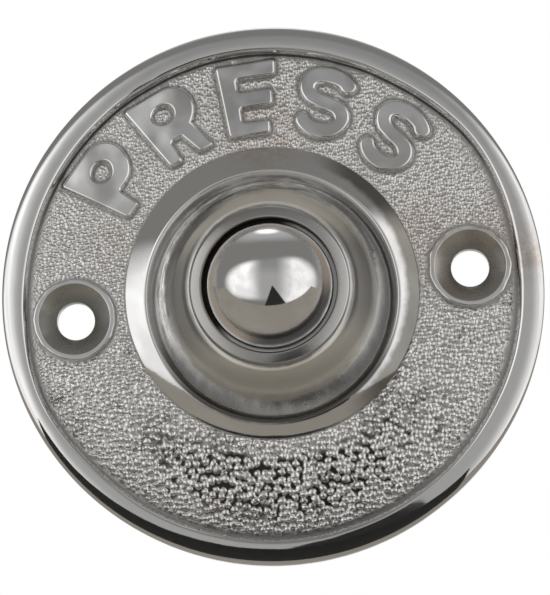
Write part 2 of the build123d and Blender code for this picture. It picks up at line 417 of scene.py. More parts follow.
def lathe_lines(tree, fineness):
    """Lines left round the axis by turning, longer than they are wide."""
    around = vectors("MULTIPLY", {0: place(tree), 1: (1, 0, 1)})
    circle = vectors("NORMALIZE", {0: around})
    length = vectors("SCALE", {0: circle, "Scale": 3.0})
    width = product(from_axis(tree, 0.0003), fineness)
    lines = add(tree, "ShaderNodeCombineXYZ", {"Y": width}).outputs[0]
    return speckle(tree, 1.0, detail=3.0, rough=0.6, at=vectors("ADD", {0: length, 1: lines}))


def warmth(tree):
    """How far the plating has gone warm, broken up by fine speckle."""
    warmest = 0.0
    for across, up, reach, strength in warm_places:
        away = vectors("DISTANCE", {0: place(tree), 1: (across, warm_height, up)}, "Value")
        warmest = most(ramp(away, 0.2 * reach, reach, strength, 0.0), warmest)
    return product(warmest, ramp(speckle(tree, 900.0, detail=4.0, rough=0.7), 0.3, 0.65))


def polished_chrome():
    """The rim, collar, boss and lip, with cast skin left in the groove, a satin lip, and light and shade
    painted by side and ring.
    """
    made, tree = new_finish("polished_chrome")
    polish = use(tree, hand_polish, Smear=0.05)
    worn = use(tree, plating_wear, Scale=170.0, Cover=0.42)["Patches"]
    skin = use(tree, cast_skin, Scale=2300.0)["Height"]
    split = split_place(tree)
    across, up = split["X"], split["Z"]
    radius = from_axis(tree, 0.0003)
    collar_radius = from_axis(tree, 0.0003, collar_drop / 1000)
    groove = band(radius, groove_ring, outer=collar_radius)
    lip = ramp(radius, *lip_edge, 1.0, 0.0)
    flank = band(radius, flank_ring)
    low = ramp(up, *lower_side)
    ends = ramp(maths("ABSOLUTE", up), *top_or_bottom)
    streaks = ramp(lathe_lines(tree, 3200.0), 0.46, 0.54, 1.0, 0.0)
    # The groove is grey along its turned streaks, and grey as painted shade low down and on its right side
    groove_streaks_and_shade = product(groove, most(streaks, low, ramp(across, *right_side)))
    bed = product(band(radius, bed_ring, 0.9), ramp(across, *left_side), difference(1.0, low))
    shoulder = product(band(radius, shoulder_ring, 0.8), difference(1.0, ends))
    sideways = ramp(maths("ABSOLUTE", across), *either_side)
    right_or_low = most(ramp(across, *far_right), ramp(up, *well_below))
    outer_groove = product(groove, ramp(radius, *outer_groove_edge, 0.0, 0.75), sideways, right_or_low)
    wall = product(band(collar_radius, wall_ring, 0.85), ramp(up, *not_well_below))
    lit_left_wall = product(wall, ramp(across, *far_left))
    colour = coats(
        chrome_bright,
        (product(worn, 0.25), plating_warm),
        # Groove streaks, and painted shade low down and on the right
        (groove_streaks_and_shade, groove_grey),
        (bed, shadow_grey),
        # Painted shade on the lip, deeper towards the left
        (product(lip, ramp(across, *right_to_left, 0.5, 0.84)), painted_shade_grey),
        # Painted light at the top and bottom of the satin flank, painted shade at its sides
        (product(flank, 0.8), blend(ends, satin_painted_shade, satin_painted_light)),
        (most(shoulder, product(bed, ramp(up, *upper_side))), shadow_grey),
        (outer_groove, shadow_grey),
        # Painted highlight on the left of the groove's outer wall
        (lit_left_wall, wall_painted_highlight),
        # Painted shadow in a dark line low on the groove's outer wall
        (product(band(collar_radius, shadow_line_ring, 0.85), ramp(up, *near_bottom)), wall_shadow_black),
        (warmth(tree), plating_warm),
        # The collar darker towards its right side
        (product(ramp(across, *collar_right_side), band(from_axis(tree, 0.0007), collar_dark_ring, 0.88)), collar_right_dark),
    )
    rough = total(
        polish["Roughness"],
        0.035,
        product(groove, ramp(up, *lower_half, 0.07, 0.2)),
        product(flank, 0.4),
        product(lit_left_wall, 0.35),
        product(lip, 0.16),
    )
    gritty = product(skin, total(groove, product(lip, 0.3)), 0.16)
    return dressed(made, colour, rough, total(polish["Height"], gritty), 0.35, 0.0003)


def countersink_satin():
    """The bored and countersunk screw holes, left from the cutter."""
    made, tree = new_finish("countersink_satin")
    worn = use(tree, plating_wear, Scale=300.0, Cover=0.5)["Patches"]
    polish = use(tree, hand_polish, Smear=0.12)
    colour = coats(countersink_grey, (product(worn, 0.3), plating_warm), (warmth(tree), plating_warm))
    return dressed(made, colour, total(polish["Roughness"], 0.18), polish["Height"], 0.3, 0.0002)


def shaded_bore():
    """The hole round the button, painted dark as shade in the gap, with a random speckle."""
    made, tree = new_finish("shaded_bore", metallic=0.2)
    speckled = ramp(speckle(tree, 900.0, detail=4.0), 0.35, 0.75)
    return dressed(made, blend(speckled, bore_shade_black, bore_shade_brown), ramp(speckled, 0.0, 1.0, 0.5, 0.75))


def cast_back():
    """The unpolished back of the casting, dull plate over sand-cast skin."""
    made, tree = new_finish("cast_back")
    skin = use(tree, cast_skin, Scale=1500.0)["Height"]
    worn = use(tree, plating_wear, Scale=120.0, Cover=0.75)["Patches"]
    rough = ramp(speckle(tree, 500.0, detail=4.0), 0.2, 0.8, 0.42, 0.6)
    return dressed(made, blend(worn, back_grey, back_brown), rough, skin, 0.7, 0.00025)


def crooked_gap_lines(tree):
    """Crooked lines between patches of the field."""
    feeds = {"Vector": place(tree), "Scale": 900.0, "Detail": 2.0}
    crooked = add(tree, "ShaderNodeTexNoise", feeds).outputs["Color"]
    at = vectors("MULTIPLY_ADD", {0: crooked, 1: (0.0016, 0.0016, 0.0016), 2: place(tree)})
    feeds = {"Vector": at, "Scale": 560.0}
    edges = add(tree, "ShaderNodeTexVoronoi", feeds, feature="DISTANCE_TO_EDGE").outputs["Distance"]
    return ramp(edges, 0.02, 0.09, 0.65, 0.0)


def beaded_chrome():
    """The beaded field: bright beads with painted shade at their feet, and black painted shade on the ground
    where the beads stand apart and in crooked gaps low on the field.
    """
    made, tree = new_finish("beaded_chrome")
    relief = painted(tree, "bead")
    smooth = painted(tree, "margin")
    worn = use(tree, plating_wear, Scale=140.0, Cover=0.5)["Patches"]
    skin = use(tree, cast_skin, Scale=3600.0)["Height"]
    up = split_place(tree)["Z"]
    by_rim = product(ramp(smooth, 0.95, 1.0), ramp(from_axis(tree, 0.0), *field_edge))
    # Black painted shade on the low ground where the beads stand apart, and in crooked gaps on the lower
    # half
    pits = product(ramp(painted(tree, "apart"), 0.15, 0.7), ramp(relief, 0.02, 0.3, 1.0, 0.0))
    gap_shade_area = product(ramp(speckle(tree, 210.0), 0.52, 0.6), ramp(up, *lower_half))
    gap_shade_lines = product(crooked_gap_lines(tree), gap_shade_area, ramp(smooth, 0.2, 0.8, 1.0, 0.0))
    colour = coats(
        # Painted shade at the feet of the beads, lighter on their tops
        blend(relief, bead_shaded_foot, bead_top),
        (product(worn, 0.25), plating_warm),
        # Painted shadow along the smooth margins round the letters, bosses and rim
        (product(smooth, 0.7), painted_shade_grey),
        (warmth(tree), plating_warm),
        # Painted shadow along the rim's inner edge, near the top
        (product(by_rim, ramp(up, *near_top, 0.0, 0.85)), rim_shadow_black),
        # Black painted shade in the gaps between beads
        (most(pits, gap_shade_lines), gap_shade_black),
    )
    return dressed(made, colour, total(product(smooth, 0.08), 0.25), skin, 0.3, 0.00012)


def lettering_chrome():
    """The flat satin tops and bright sides of the raised letters."""
    made, tree = new_finish("lettering_chrome")
    polish = use(tree, hand_polish, Smear=0.1)
    worn = use(tree, plating_wear, Scale=260.0, Cover=0.4)["Patches"]
    dull = ramp(speckle(tree, 230.0), 0.42, 0.62, 0.0, 0.55)
    colour = coats(letter_bright, (dull, chrome_dull), (product(worn, 0.3), plating_warm))
    pillow = total(speckle(tree, 170.0, detail=1.0, rough=0.4), product(polish["Height"], 0.1))
    return dressed(made, colour, total(polish["Roughness"], 0.06), pillow, 1.0, 0.0006)


def button_chrome():
    """The turned and polished button, with a warm line of bare metal at the foot of its skirt that is
    painted into shade towards the lower right, and painted shadow on the upper left of the shoulder.
    """
    made, tree = new_finish("button_chrome")
    polish = use(tree, hand_polish, Smear=0.035)
    worn = use(tree, plating_wear, Scale=330.0, Cover=0.55)["Patches"]
    split = split_place(tree)
    across, height, up = split["X"], split["Y"], split["Z"]
    radius = from_axis(tree, 0.0003)
    low = ramp(height, *skirt_foot)
    foot = product(low, ramp(radius, *skirt_foot_edge, 1.0, 0.0))
    bare = product(total(product(worn, 0.2), 0.78), foot)
    lower_right = ramp(difference(up, product(across, 0.5)), -0.003, -0.006)
    upper_left = ramp(difference(product(up, 0.8), across), 0.0005, 0.004)
    colour = coats(
        button_bright,
        # The warm foot of the skirt, painted into shade towards the lower right
        (bare, blend(lower_right, skirt_brown, skirt_shade_black)),
        # Painted shadow on the upper left of the shoulder
        (product(upper_left, ramp(radius, *button_shade_edge)), shoulder_shadow_black),
    )
    rough = total(polish["Roughness"], 0.035, ramp(height, *dome_limb, 0.0, 0.22), product(low, 0.12))
    return dressed(made, colour, rough, polish["Height"], 0.05, 0.0003)


def plain_metal(name, clean, dirty, roughness, cover=0.55):
    """Turned, rolled or plated metal of the contact works."""
    made, tree = new_finish(name)
    worn = use(tree, plating_wear, Scale=400.0, Cover=cover)["Patches"]
    polish = use(tree, hand_polish, Smear=0.12)
    rough = total(polish["Roughness"], roughness)
    return dressed(made, blend(worn, clean, dirty), rough, polish["Height"], 0.3, 0.0002)


def moulding(name, base, fleck, roughness):
    """A moulded piece with a faint flow mottle and a fine grained skin."""
    made, tree = new_finish(name, metallic=0.0)
    flow = ramp(speckle(tree, 330.0, detail=5.0, rough=0.65), 0.42, 0.72)
    gloss = ramp(speckle(tree, 900.0, detail=3.0), 0.3, 0.7, roughness - 0.06, roughness + 0.08)
    skin = use(tree, cast_skin, Scale=4200.0)["Height"]
    return dressed(made, blend(flow, base, fleck), gloss, skin, 0.15, 0.0001)


# Mesh helpers

def bow(centre, across, rise, start, end, steps=14):
    """Points of an elliptic arc between two angles, none of them rounded further."""
    turn = [math.radians(start + (end - start) * step / steps) for step in range(steps + 1)]
    return [(centre[0] + across * math.cos(a), centre[1] + rise * math.sin(a), 0) for a in turn]


def rungs(start, end, count):
    """Radii that divide a flat run of a half section into short steps."""
    return [start + (end - start) * step / count for step in range(1, count)]


def rounded_wire(bm, corners, closed=True):
    """A wire through (across, up, round) corners, each corner rounded by its own size."""
    points = [bm.verts.new((across, 0, up)) for across, up, _ in corners]
    ends = points[1:] + points[:1] if closed else points[1:]
    for first, second in zip(points, ends):
        bm.edges.new((first, second))
    for point, (_, _, size) in zip(points, corners):
        if size:
            ways = [edge.other_vert(point).co - point.co for edge in point.link_edges]
            slide = size / math.tan(ways[0].angle(ways[1]) / 2)
            bmesh.ops.bevel(
                bm, geom=[point], offset=slide, offset_type="OFFSET", segments=7,
                profile=0.5, affect="VERTICES", material=-1,
            )


def full_turn(bm, steps, whole=2 * math.pi):
    """Spins a wire a sixteenth of the way round the axis, and doubles it four times."""
    part = whole / 16
    bmesh.ops.spin(
        bm, geom=bm.verts[:] + bm.edges[:], cent=(0, 0, 0), axis=(0, 0, 1), dvec=(0, 0, 0), angle=part,
        steps=steps // 16, use_merge=False,
    )
    for _ in range(4):
        copied = bmesh.ops.duplicate(bm, geom=bm.verts[:] + bm.edges[:] + bm.faces[:])["geom"]
        points = [item for item in copied if isinstance(item, bmesh.types.BMVert)]
        bmesh.ops.rotate(bm, cent=(0, 0, 0), matrix=Matrix.Rotation(part, 3, "Z"), verts=points)
        part *= 2
    bmesh.ops.remove_doubles(bm, verts=bm.verts, dist=1e-4)
    bmesh.ops.recalc_face_normals(bm, faces=bm.faces)
    return bm


def turned(corners, steps, closed=True):
    """A half section turned round the axis."""
    bm = bmesh.new()
    rounded_wire(bm, corners, closed)
    return full_turn(bm, steps)


def pierced(bm, places, radius):
    """Opens a closed bench mesh right through at each place along X, and walls the opening."""
    for x in places:
        middle = Vector((x, 0))
        near = [face for face in bm.faces if (face.calc_center_median().xy - middle).length < radius]
        bmesh.ops.delete(bm, geom=near, context="FACES")
        bmesh.ops.bridge_loops(bm, edges=[edge for edge in bm.edges if edge.is_boundary])


def new_object(bm, name, finishes):
    """An object of the scene from a bench mesh."""
    mesh = bpy.data.meshes.new(name)
    bm.to_mesh(mesh)
    bm.free()
    for made in finishes:
        mesh.materials.append(made)
    obj = bpy.data.objects.new(name, mesh)
    scene.collection.objects.link(obj)
    return obj


def piece(bm, name, finishes, sharp=40):
    """A bench mesh stood upright, smooth but for its sharp edges."""
    bmesh.ops.transform(bm, matrix=upright, verts=bm.verts)
    obj = new_object(bm, name, finishes)
    obj.data.shade_smooth()
    if sharp:
        obj.data.set_sharp_from_angle(angle=math.radians(sharp))
    return obj


# The casting

# Waves of the rim's inner edge and of the groove: size, fineness and layer.
rim_waves = ((0.16, 2.3, 4.0), (0.05, 9.0, 8.0))
groove_waves = ((0.04, 0.8, 1.0), (0.012, 2.4, 6.0))

# Places where the rim's inner edge was filed back: angle, width in degrees and depth.
filed_places = ((28, 17, 0.75), (197, 15, 0.7))

# The part of the groove that is left wavy, inwards and outwards of its outer edge.
wavy_inwards = 2.0
wavy_outwards = 0.4

# How far below its level a point is still on the face.
groove_slack = 0.1
collar_slack = 0.2
rim_slope_slack = 0.4

# Slots of the casting's finishes
back_slot = 1
bore_slot = 2


def rim_slack(angle):
    """How far the hand-filed inner edge of the rim wanders outwards, by angle round the face."""
    x, y = math.cos(angle), math.sin(angle)
    wander = sum(size * ripple(x, y, fineness, layer) for size, fineness, layer in rim_waves)
    for middle, width, depth in filed_places:
        off = (math.degrees(angle) - middle + 180) % 360 - 180
        wander += depth * math.exp(-((off / width) ** 2))
    return wander


def wavy_groove(vert):
    """Leaves the groove a little uneven."""
    for size, fineness, layer in groove_waves:
        vert.co.z += size * ripple(vert.co.x, vert.co.y, fineness, layer)


def lowered_collar(vert, radius):
    """Sets the collar's inner circle low on its cone, with the edge following the slope."""
    held = ease(collar_edge_radius, collar_foot_radius, radius)
    vert.co.y -= collar_drop * ease(boss_radius, groove_outer_radius, radius) * (1 - held)
    risen = min(1.0, max(0.0, (vert.co.z - groove_height) / (collar_height - groove_height)))
    vert.co.z -= collar_slope * risen * (math.hypot(vert.co.x, vert.co.y) - radius)


def filed_rim(vert, radius):
    """Moves a point of the rim outwards with its filed inner edge."""
    slack = rim_slack(math.atan2(vert.co.y, vert.co.x))
    grown = radius + slack * (plate_radius - radius) / (plate_radius - rim_foot_radius)
    vert.co.x *= grown / radius
    vert.co.y *= grown / radius


def plate_casting():
    """The casting: rim, ground under the beads, collar, groove, boss and lip, hollow behind."""
    rim_outside = bow(
        (rim_crest_radius, plate_edge), plate_radius - rim_crest_radius, rim_height - plate_edge, 0, 90, 22,
    )
    rim_inside = bow(
        (rim_crest_radius, rim_foot_height - rim_foot_sink), rim_crest_radius - rim_foot_radius,
        rim_height - rim_foot_height + rim_foot_sink, 90, 180, 16,
    )
    ground = rungs(rim_foot_radius, collar_foot_radius, 24)
    seat = rungs(lower_cavity_radius, seat_radius, 18)
    hollow = rungs(seat_radius, bearing_radius - bearing_band, 18)
    bm = turned([
        (plate_radius, 0, 0.15),
        *rim_outside,
        *rim_inside[1:],
        *((radius, field_level(radius) - ground_sink, 0) for radius in ground),
        (collar_foot_radius + collar_foot_step, collar_foot_height - ground_sink, 0),
        (collar_foot_radius - collar_foot_step, collar_foot_height + collar_foot_step, 0.2),
        (collar_edge_radius, collar_height, 0.45),
        (groove_outer_radius, groove_height, 0.35),
        (boss_radius, groove_height, 2.2),
        (boss_top_radius, boss_top_height, 0.35),
        (lip_foot_radius, lip_foot_height, 0.12),
        (lip_radius, lip_edge_height, 0.3),
        (hole_radius, lip_height, 0.25),
        (hole_radius, ceiling_height, 0),
        (upper_cavity_radius, ceiling_height, 0),
        (upper_cavity_radius, ledge_height, 0),
        (lower_cavity_radius, ledge_height, 0),
        (lower_cavity_radius, pocket_height, 0),
        *((radius, pocket_height, 0) for radius in seat),
        (seat_radius, pocket_height, 0),
        *((radius, pocket_level(radius), 0) for radius in hollow),
        (bearing_radius, pocket_edge_height, 0.3),
        (bearing_radius, 0, 0),
    ], plate_steps)
    for vert in bm.verts:
        radius = math.hypot(vert.co.x, vert.co.y)
        by_groove = groove_outer_radius - wavy_inwards < radius < groove_outer_radius + wavy_outwards
        if by_groove and vert.co.z > groove_height - groove_slack:
            wavy_groove(vert)
        if boss_radius < radius < collar_foot_radius and vert.co.z > groove_height - collar_slack:
            lowered_collar(vert, radius)
        on_rim = vert.co.z > rim_foot_height - rim_slope_slack or radius > rim_crest_radius
        if on_rim and radius > rim_foot_radius - 0.01:
            filed_rim(vert, radius)
    pierced(bm, (-screw_place, screw_place), screw_boss_radius - casting_under_boss)
    bmesh.ops.recalc_face_normals(bm, faces=bm.faces)
    for face in bm.faces:
        middle = face.calc_center_median()
        radius = math.hypot(middle.x, middle.y)
        if abs(radius - hole_radius) < 0.03 and middle.z > ceiling_height:
            face.material_index = bore_slot
        elif face.normal.z < 0.05 and radius < plate_radius - 0.4:
            face.material_index = back_slot
    return piece(bm, "plate_casting", [polished_chrome_finish, cast_back(), shaded_bore()])


def screw_boss(name, x):
    """A raised, slightly ragged ring round a countersunk hole, with its pad behind."""
    bm = turned([
        (screw_boss_radius, 0, 0),
        (screw_boss_radius, screw_boss_height, 0.28),
        (countersink_radius, screw_boss_height, 0.1),
        (screw_hole_radius, throat_height, 0.08),
        (screw_hole_radius, 0, 0),
    ], screw_boss_steps)
    for face in bm.faces:
        face.material_index = int(math.hypot(*face.calc_center_median().xy) < countersink_radius - 0.02)
    for vert in bm.verts:
        ragged = noise.noise(Vector((vert.co.x * 0.7 + x, vert.co.y * 0.7, 2.0)))
        on_ring = math.hypot(vert.co.x, vert.co.y) > countersink_radius + 0.05
        if on_ring and vert.co.z > screw_boss_height - 0.5:
            vert.co.x *= 1 + 0.03 * ragged
            vert.co.y *= 1 + 0.03 * ragged
            vert.co.z += 0.1 * ragged
    bmesh.ops.translate(bm, vec=(x, 0, 0), verts=bm.verts)
    return piece(bm, name, [polished_chrome_finish, countersink_satin_finish])


# The raised word

# Outlines of the letters at the foot, as (across, up, round) corners from the middle of each letter.
letter_p = [
    [(-3.7, 4.6, 0.7), *bow((1.15, 1.3), 3.1, 3.3, 90, -90), (0.05, -2.0, 0.1), (0.05, -4.85, 0.7),
     (-2.95, -4.85, 0.7)],
    bow((0.4, 1.35), 1.0, 0.88, 0, 345, 23),
]
letter_r = [
    [(-3.8, 4.55, 0.7), *bow((0.95, 1.4), 3.1, 3.15, 90, -55), (4.2, -5.1, 0.6), (1.5, -5.1, 0.6),
     (0.35, -2.2, 0.1), (-0.7, -2.2, 0.1), (-0.7, -4.9, 0.7), (-3.1, -4.9, 0.7)],
    bow((-0.05, 1.45), 1.02, 0.86, 0, 345, 23),
]
letter_e = [
    [(-2.95, 4.5, 0.7), (4.1, 4.5, 0.7), (4.1, 2.1, 0.7), (-0.35, 2.1, 0.1), (-0.35, 1.0, 0.1),
     (3.65, 1.0, 0.7), (3.65, -1.5, 0.7), (-0.35, -1.5, 0.1), (-0.35, -2.75, 0.1), (3.2, -2.75, 0.7),
     (3.2, -4.95, 0.7), (-2.95, -4.95, 0.7)],
]
letter_s = [
    [*bow((0, 1.62), 3.65, 2.95, 34, 236, 26), *bow((0, -1.72), 1.35, 0.5, 96, -146, 22),
     *bow((-2.13, -2.71), 1.24, 1.24, 50, 200, 10), *bow((0, -1.72), 3.8, 3.05, -146, 56, 26),
     *bow((0, 1.62), 1.25, 0.45, 276, 34, 22), *bow((2.03, 2.57), 1.22, 1.22, 230, 380, 10)],
]

# Each letter and its angle round the face.
letter_angles = ((letter_p, 137.7), (letter_r, 113.7), (letter_e, 90.7), (letter_s, 67.2), (letter_s, 44.8))
letter_middle = 23.6
letter_foot_height = 2.0
letter_fan = 0.65

# Steps of a letter's sloping side and of its rounded edge: how far in and how far up.
letter_slope = ((0.03, 0.45), (0.05, 0.3), (0.12, 0.34))
letter_round = ((0.09, 0.17), (0.09, 0.1), (0.09, 0.055), (0.07, 0.02))


def flat_letter(loops):
    """A letter's face filled between its outlines."""
    bm = bmesh.new()
    for loop in loops:
        rounded_wire(bm, loop)
    lay_down = Matrix.Rotation(math.radians(-90), 3, "X")
    bmesh.ops.rotate(bm, cent=(0, 0, 0), matrix=lay_down, verts=bm.verts)
    bmesh.ops.triangle_fill(bm, use_beauty=True, use_dissolve=True, edges=bm.edges)
    for face in bm.faces:
        if face.normal.z < 0:
            face.normal_flip()
    return bm


def raised_word():
    """Five raised letters with sloping sides and flat tops, fanned round the upper arc."""
    word = bmesh.new()
    for loops, angle in letter_angles:
        bm = flat_letter(loops)
        tops = bm.faces[:]
        for inwards, upwards in letter_slope + letter_round:
            bmesh.ops.inset_region(
                bm, faces=tops, use_boundary=True, use_even_offset=True, thickness=inwards, depth=upwards,
            )
        top_set = set(tops)
        for edge in {edge for face in tops for edge in face.edges}:
            edge.smooth = all(face in top_set for face in edge.link_faces)
        for vert in bm.verts:
            vert.co.z += field_level(letter_middle + vert.co.y) - field_level(letter_middle)
            vert.co.x *= 1 + letter_fan * vert.co.y / letter_middle
        turn = Matrix.Rotation(math.radians(angle - 90), 4, "Z")
        out = Matrix.Translation((0, letter_middle, letter_foot_height))
        bmesh.ops.transform(bm, matrix=turn @ out, verts=bm.verts)
        spare = bpy.data.meshes.new("letter")
        bm.to_mesh(spare)
        bm.free()
        word.from_mesh(spare)
        bpy.data.meshes.remove(spare)
    return word


# The beaded field

# Where the beads stand apart: the middle of that arc and its reach in degrees, and the ring it follows.
loose_angle = 266
loose_arc = (10, 68)
loose_arc_wander = 14
loose_radius = 22.8
loose_width = (0.8, 6.0)
loose_width_wander = 1.6

# Spacing of the beads: where they crowd, and what is added where they stand apart and low on the face.
crowded_space = 0.36
loose_space = 0.36
low_space = 0.18
low_reach = (-2, 14)

# Bead sizes as shares of the spacing, and heights as shares of the size.
crowded_sizes = (0.5, 0.8)
loose_sizes = (0.56, 0.76)
bead_rises = (0.4, 0.76)
bead_seed = 11
bead_tries = 70000
bead_cell = 0.7
bead_shoulder = 0.6
bead_bright_height = 0.16

# The sheet that is raised into beads
sheet_steps = 640
sheet_cuts = 140
sheet_under_collar = 0.2
sheet_under_rim = 0.7
letters_above = 8


def spread(x, y):
    """1 in the middle of the lower field, where large beads stand apart, falling to 0 where they crowd."""
    around = abs((math.degrees(math.atan2(y, x)) - loose_angle + 540) % 360 - 180)
    ragged = ripple(x, y, 0.5, 9.0)
    along = 1 - ease(*loose_arc, around + loose_arc_wander * ragged)
    off_ring = abs(math.hypot(x, y) - loose_radius)
    return along * (1 - ease(*loose_width, off_ring + loose_width_wander * ragged))


def bead_spots():
    """Beads scattered over the field as (x, y, radius, height), no nearer than the local spacing."""
    dice = random.Random(bead_seed)
    spots = []
    cells = {}
    around = (-1, 0, 1)
    inner, outer = collar_foot_radius - 0.1, rim_foot_radius + 0.5
    for _ in range(bead_tries):
        radius = math.sqrt(dice.uniform(inner**2, outer**2))
        angle = dice.uniform(0, 2 * math.pi)
        x, y = radius * math.cos(angle), radius * math.sin(angle)
        loose = spread(x, y)
        space = crowded_space + loose_space * loose + low_space * (1 - loose) * ease(*low_reach, -y)
        column, row = int(x // bead_cell), int(y // bead_cell)
        near = [spot for i in around for j in around for spot in cells.get((column + i, row + j), ())]
        if all((x - spot[0]) ** 2 + (y - spot[1]) ** 2 > space**2 for spot in near):
            size = space * (dice.uniform(*crowded_sizes) * (1 - loose) + dice.uniform(*loose_sizes) * loose)
            rise = size * dice.uniform(*bead_rises)
            cells.setdefault((column, row), []).append((x, y))
            spots.append((x, y, size, rise))
    return spots


def bare_sheet(number):
    """One flat quarter of the field, open under the screw bosses."""
    bm = bmesh.new()
    reach = (collar_foot_radius - sheet_under_collar, rim_foot_radius + sheet_under_rim)
    ends = [bm.verts.new((radius, 0, 0)) for radius in reach]
    bmesh.ops.subdivide_edges(bm, edges=[bm.edges.new(ends)], cuts=sheet_cuts)
    full_turn(bm, sheet_steps, math.pi / 2)
    start = Matrix.Rotation(math.pi / 2 * (number - 0.5), 3, "Z")
    bmesh.ops.rotate(bm, cent=(0, 0, 0), matrix=start, verts=bm.verts)
    under_boss = []
    for face in bm.faces:
        middle = face.calc_center_median()
        if Vector((abs(middle.x) - screw_place, middle.y)).length < screw_boss_radius - field_under_boss:
            under_boss.append(face)
    bmesh.ops.delete(bm, geom=under_boss, context="FACES")
    return bm


def open_ground(x, y, letters):
    """1 on the open field, falling to 0 along the rim, the collar, the screw bosses and the letters."""
    radius = math.hypot(x, y)
    ragged = ripple(x, y, 0.9, 3.0)
    from_rim = rim_foot_radius + rim_slack(math.atan2(y, x)) - radius
    clear = ease(0.1, 0.85 + 0.6 * ragged, from_rim)
    clear *= ease(-0.1, 0.2, radius - collar_foot_radius)
    clear *= ease(0.0, 0.6 + 0.5 * ragged, math.hypot(abs(x) - screw_place, y) - screw_boss_radius)
    if y > letters_above:
        _, _, _, away = letters.find_nearest((x, y, field_level(radius)))
        clear *= ease(0.02, 0.4 + 0.35 * ragged, away)
    return clear


def bead_height(x, y, spots, finder, largest):
    """Height of the beads over the ground."""
    height = 0.0
    uneven = ripple(x, y, 2.6, 5.0)
    for _, index, away in finder.find_range((x, y, 0), largest * 1.3):
        _, _, size, rise = spots[index]
        away *= 1 + 0.3 * uneven
        if away < size:
            height = max(height, rise * (1 - (away / size) ** 2) ** bead_shoulder)
    return height


def beaded_field(letters):
    """The sunk field in four quarters: a sheet raised into beads, smooth along its edges and letters."""
    spots = bead_spots()
    finder = kdtree.KDTree(len(spots))
    for index, (x, y, _, _) in enumerate(spots):
        finder.insert((x, y, 0), index)
    finder.balance()
    largest = max(spot[2] for spot in spots)
    quarters = []
    for number, name in enumerate(("right", "upper", "left", "lower")):
        bm = bare_sheet(number)
        bead, margin, apart = [bm.verts.layers.float.new(layer) for layer in ("bead", "margin", "apart")]
        for vert in bm.verts:
            x, y = vert.co.x, vert.co.y
            clear = open_ground(x, y, letters)
            height = bead_height(x, y, spots, finder, largest) * clear
            vert.co.z = field_level(math.hypot(x, y)) + height
            vert[bead] = min(1.0, height / bead_bright_height)
            vert[margin] = 1 - clear
            vert[apart] = spread(x, y) * clear
        quarters.append(piece(bm, "beaded_field_" + name, [beaded_chrome_finish], sharp=0))
    return quarters


# The button and the leaf

def domed_button():
    """The turned button: dome, skirt, shoulder, retaining flange and tail."""
    ball = (dome_radius**2 + dome_rise**2) / (2 * dome_rise)
    ball_middle = skirt_top + dome_rise - ball
    reach = math.asin(dome_radius / ball)
    angles = [reach * step / dome_steps for step in range(dome_steps)]
    bm = turned([
        *((ball * math.sin(a), ball_middle + ball * math.cos(a), 0) for a in angles),
        (dome_radius, skirt_top, 0.12),
        (dome_radius, shoulder_height + skirt_undercut, 0),
        (dome_radius - skirt_undercut, shoulder_height, 0),
        (shoulder_radius, shoulder_height, 0.3),
        (shoulder_radius, ceiling_height, 0),
        (flange_radius, ceiling_height, 0.1),
        (flange_radius, flange_underside, 0.1),
        (tail_radius, flange_underside, 0),
        (tail_radius, tail_end, 0),
        (0, tail_end, 0),
    ], button_steps, closed=False)
    return piece(bm, "domed_button", [button_chrome()])


def spring_leaf():
    """The hairpin leaf: one leg on the base's floor, a half turn, and a leg under the button."""
    bm = bmesh.new()
    bend = (leaf_top - leaf_floor) / 2
    foot = bm.verts.new((leaf_lower_end, -leaf_width / 2, leaf_floor))
    turn = bm.verts.new((leaf_bend_place, -leaf_width / 2, leaf_floor))
    bm.edges.new((foot, turn))
    made = bmesh.ops.spin(
        bm, geom=[turn], cent=(leaf_bend_place, 0, leaf_floor + bend), axis=(0, 1, 0), dvec=(0, 0, 0),
        angle=math.pi, steps=leaf_bend_steps, use_merge=False,
    )
    last = next(item for item in made["geom_last"] if isinstance(item, bmesh.types.BMVert))
    bm.edges.new((last, bm.verts.new((leaf_upper_end, -leaf_width / 2, leaf_top))))
    wide = bmesh.ops.extrude_edge_only(bm, edges=bm.edges[:])["geom"]
    far_side = [item for item in wide if isinstance(item, bmesh.types.BMVert)]
    bmesh.ops.translate(bm, vec=(0, leaf_width, 0), verts=far_side)
    tips = [vert for vert in bm.verts if len(vert.link_edges) == 2]
    bmesh.ops.bevel(
        bm, geom=tips, offset=leaf_corner, offset_type="OFFSET", segments=5, profile=0.5,
        affect="VERTICES", material=-1,
    )
    bmesh.ops.recalc_face_normals(bm, faces=bm.faces)
    bmesh.ops.solidify(bm, geom=bm.faces[:], thickness=leaf_thickness)
    bmesh.ops.recalc_face_normals(bm, faces=bm.faces)
    return piece(bm, "spring_leaf", [spring_bronze])


# Finishes that pieces share
polished_chrome_finish = polished_chrome()
countersink_satin_finish = countersink_satin()
beaded_chrome_finish = beaded_chrome()
spring_bronze = plain_metal("spring_bronze", (0.72, 0.47, 0.27, 1), (0.42, 0.24, 0.14, 1), 0.22)
contact_silver = plain_metal("contact_silver", (0.75, 0.74, 0.71, 1), (0.35, 0.32, 0.28, 1), 0.2, 0.5)
terminal_brass = plain_metal("terminal_brass", (0.76, 0.58, 0.27, 1), (0.45, 0.31, 0.14, 1), 0.2)
zinc_steel = plain_metal("zinc_steel", (0.66, 0.65, 0.62, 1), (0.42, 0.4, 0.37, 1), 0.24)
brown_phenolic = moulding("brown_phenolic", (0.036, 0.019, 0.013, 1), (0.075, 0.034, 0.02, 1), 0.3)
ivory_moulding = moulding("ivory_moulding", (0.8, 0.77, 0.69, 1), (0.7, 0.65, 0.55, 1), 0.42)

